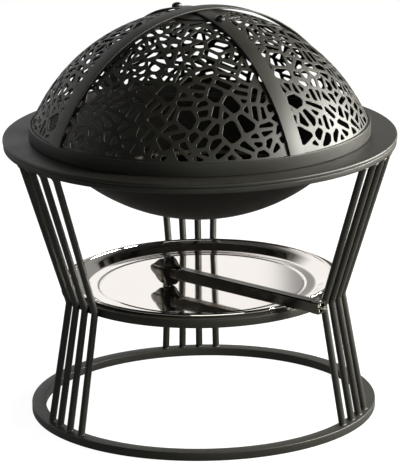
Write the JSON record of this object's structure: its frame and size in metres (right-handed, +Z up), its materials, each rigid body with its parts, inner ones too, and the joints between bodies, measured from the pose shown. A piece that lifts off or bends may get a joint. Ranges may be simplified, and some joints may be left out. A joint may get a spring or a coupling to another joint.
{
  "type": "fire bowl with domed spark guard",
  "caption": "Round fire bowl on a waisted rod stand, with a pierced dome guard, a lower steel tray and scalloped tongs.",
  "frame": {"origin": "on the floor, at the centre of the base ring's underside", "axes": "+Z up through the middle of the bowl and the guard; +Y towards the back group of rods; +X to the right"},
  "size_m": [0.5599, 0.56, 0.5874],
  "materials": {
    "black_steel": "satin black heat-resistant paint on steel",
    "polished_steel": "mirror-polished stainless steel",
    "grate_steel": "bare dark steel rod, heat-stained",
    "bolt_steel": "black oxide",
    "tong_steel": "dark polished steel sheet",
    "tong_fittings": "plain steel"
  },
  "bodies": {
    "stand": {"base_ring": "black_steel", "middle_ring": "black_steel", "top_ring": "black_steel", "rod_back_1": "black_steel", "rod_back_2": "black_steel", "rod_back_3": "black_steel", "rod_back_4": "black_steel", "rod_left_1": "black_steel", "rod_left_2": "black_steel", "rod_left_3": "black_steel", "rod_left_4": "black_steel", "rod_right_1": "black_steel", "rod_right_2": "black_steel", "rod_right_3": "black_steel", "rod_right_4": "black_steel"},
    "tray": {"tray": "polished_steel", "tray_rim": "polished_steel"},
    "bowl": {"bowl": "black_steel", "bowl_flange": "black_steel"},
    "grate": {"fire_grate": "grate_steel"},
    "guard": {"guard_band": "black_steel", "guard_panel_1": "black_steel", "guard_panel_2": "black_steel", "guard_panel_3": "black_steel", "guard_panel_4": "black_steel", "strap_under": "black_steel", "strap_over": "black_steel", "crown_disc": "black_steel", "crown_bolts": "bolt_steel", "crown_nuts": "bolt_steel"},
    "tongs": {"tong_pin": "tong_fittings", "tong_spring": "tong_fittings"},
    "tong_near": {"tong_arm_near": "tong_steel", "tong_sides_near": "tong_steel"},
    "tong_far": {"tong_arm_far": "tong_steel", "tong_sides_far": "tong_steel"},
    "tong_tab": {"tong_lock": "tong_fittings"}
  },
  "joints": [
    {"name": "bowl_lift", "type": "slide", "parent": "stand", "child": "bowl", "axis": [0, 0, 1], "range_m": [0, 0.2]},
    {"name": "grate_lift", "type": "slide", "parent": "bowl", "child": "grate", "axis": [0, 0, 1], "range_m": [0, 0.05]},
    {"name": "guard_lift", "type": "slide", "parent": "bowl", "child": "guard", "axis": [0, 0, 1], "range_m": [0, 0.25]},
    {"name": "tray_lift", "type": "slide", "parent": "stand", "child": "tray", "axis": [0, 0, 1], "range_m": [0, 0.03]},
    {"name": "tongs_lift", "type": "slide", "parent": "tray", "child": "tongs", "axis": [0, 0, 1], "range_m": [0, 0.025]},
    {"name": "tong_near_swing", "type": "hinge", "parent": "tongs", "child": "tong_near", "pos_m": [0.14494, -0.20394, 0.20396], "axis": [0.0015, -0.0016, 1], "range_deg": [0, 8]},
    {"name": "tong_far_swing", "type": "hinge", "parent": "tongs", "child": "tong_far", "pos_m": [0.14494, -0.20394, 0.20396], "axis": [0.0015, -0.0016, 1], "range_deg": [-8, 0]},
    {"name": "tong_tab_slide", "type": "slide", "parent": "tongs", "child": "tong_tab", "axis": [0.6947, -0.7193, -0.0022], "range_m": [0, 0.008]}
  ],
  "couplings": [
    {"joint": "tong_far_swing", "follows": "tong_near_swing", "ratio": -1}
  ]
}
